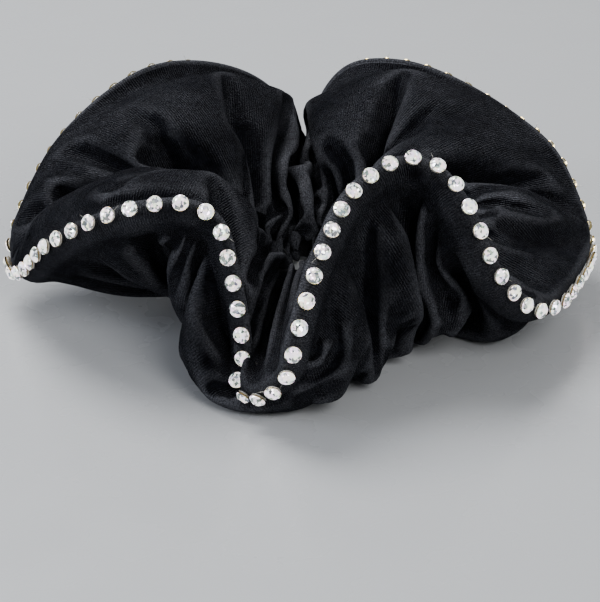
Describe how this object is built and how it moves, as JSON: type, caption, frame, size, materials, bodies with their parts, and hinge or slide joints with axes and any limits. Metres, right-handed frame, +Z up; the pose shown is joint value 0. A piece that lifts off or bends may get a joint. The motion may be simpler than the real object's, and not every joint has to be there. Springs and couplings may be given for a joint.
{
  "type": "scrunchie",
  "caption": "Gathered black velvet scrunchie on a stretching elastic loop, with a line of round crystals along its wavy rolled rim.",
  "frame": {"origin": "on the surface that the scrunchie lies on, below the middle of its outline and of its elastic ring", "axes": "+Z up out of the hair hole, -Y to the front, where the rim's deepest trough lies, +X to the right, the way the loop stretches"},
  "size_m": [0.138, 0.1382, 0.0505],
  "materials": {
    "black_velvet": "knitted velour with a short dense pile, near black with a cool sheen",
    "elastic_braid": "flat braided elastic, matt",
    "black_thread": "spun polyester thread, satin",
    "clear_crystal": "cut and polished clear glass",
    "stone_foil": "mirror foil with a thin gold lacquer",
    "clear_glue": "clear set glue, glossy"
  },
  "bodies": {
    "left_half": {"velvet_cover_left": "black_velvet", "elastic_band_left": "elastic_braid", "long_seam_stitches_left": "black_thread", "crystals_left": "clear_crystal", "crystal_foils_left": "stone_foil", "crystal_glue_left": "clear_glue", "elastic_join_stitches": "black_thread", "end_seam_stitches": "black_thread"},
    "right_half": {"velvet_cover_right": "black_velvet", "elastic_band_right": "elastic_braid", "long_seam_stitches_right": "black_thread", "crystals_right": "clear_crystal", "crystal_foils_right": "stone_foil", "crystal_glue_right": "clear_glue", "closing_stitches": "black_thread"}
  },
  "joints": [
    {"name": "loop_stretch", "type": "slide", "parent": "left_half", "child": "right_half", "axis": [1, 0, 0], "range_m": [0, 0.05], "stiffness_N_per_m": 55}
  ]
}
